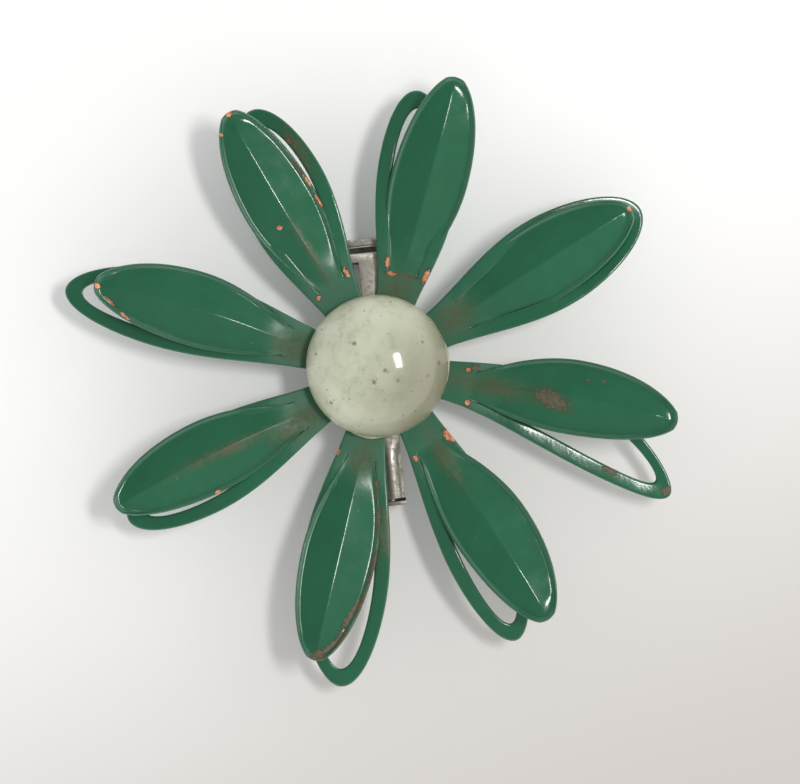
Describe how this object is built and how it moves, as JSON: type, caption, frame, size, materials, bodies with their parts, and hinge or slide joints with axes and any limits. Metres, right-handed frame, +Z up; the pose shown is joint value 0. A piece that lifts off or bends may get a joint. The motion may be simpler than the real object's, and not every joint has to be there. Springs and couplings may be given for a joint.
{
  "type": "flower hair clip",
  "caption": "Enamelled sheet-metal flower with looped petals and a domed centre, riveted to a sprung single-prong hair clip.",
  "frame": {"origin": "on the hair-side face of the clip's lower arm, straight below the centre of the flower", "axes": "+Z up through the flower, +Y along the clip towards its finger pads, +X along the hinge pin"},
  "size_m": [0.0753, 0.075, 0.0136],
  "materials": {
    "enamel": "glossy hand-dipped enamel, chipped",
    "dome": "polished milky plastic",
    "adhesive": "yellowed glue",
    "rivet": "tarnished",
    "clip": "worn nickel plate",
    "spring": "drawn wire"
  },
  "bodies": {
    "flower": {"flower_hub": "enamel", "petal_frame_1": "enamel", "petal_blade_1": "enamel", "petal_frame_2": "enamel", "petal_blade_2": "enamel", "petal_frame_3": "enamel", "petal_blade_3": "enamel", "petal_frame_4": "enamel", "petal_blade_4": "enamel", "petal_frame_5": "enamel", "petal_blade_5": "enamel", "petal_frame_6": "enamel", "petal_blade_6": "enamel", "petal_frame_7": "enamel", "petal_blade_7": "enamel", "petal_frame_8": "enamel", "petal_blade_8": "enamel", "dome": "dome", "dome_adhesive": "adhesive", "rivet": "rivet", "clip_upper_arm": "clip", "hinge_pin": "clip", "torsion_spring": "spring"},
    "lower_jaw": {"clip_lower_arm": "clip"}
  },
  "joints": [
    {"name": "jaw_hinge", "type": "hinge", "parent": "flower", "child": "lower_jaw", "pos_m": [0, 0.004, 0.00275], "axis": [1, 0, 0], "range_deg": [0, 16], "stiffness_Nm_per_rad": 0.08, "springref_deg": -40.11, "deforming": ["torsion_spring"]}
  ]
}
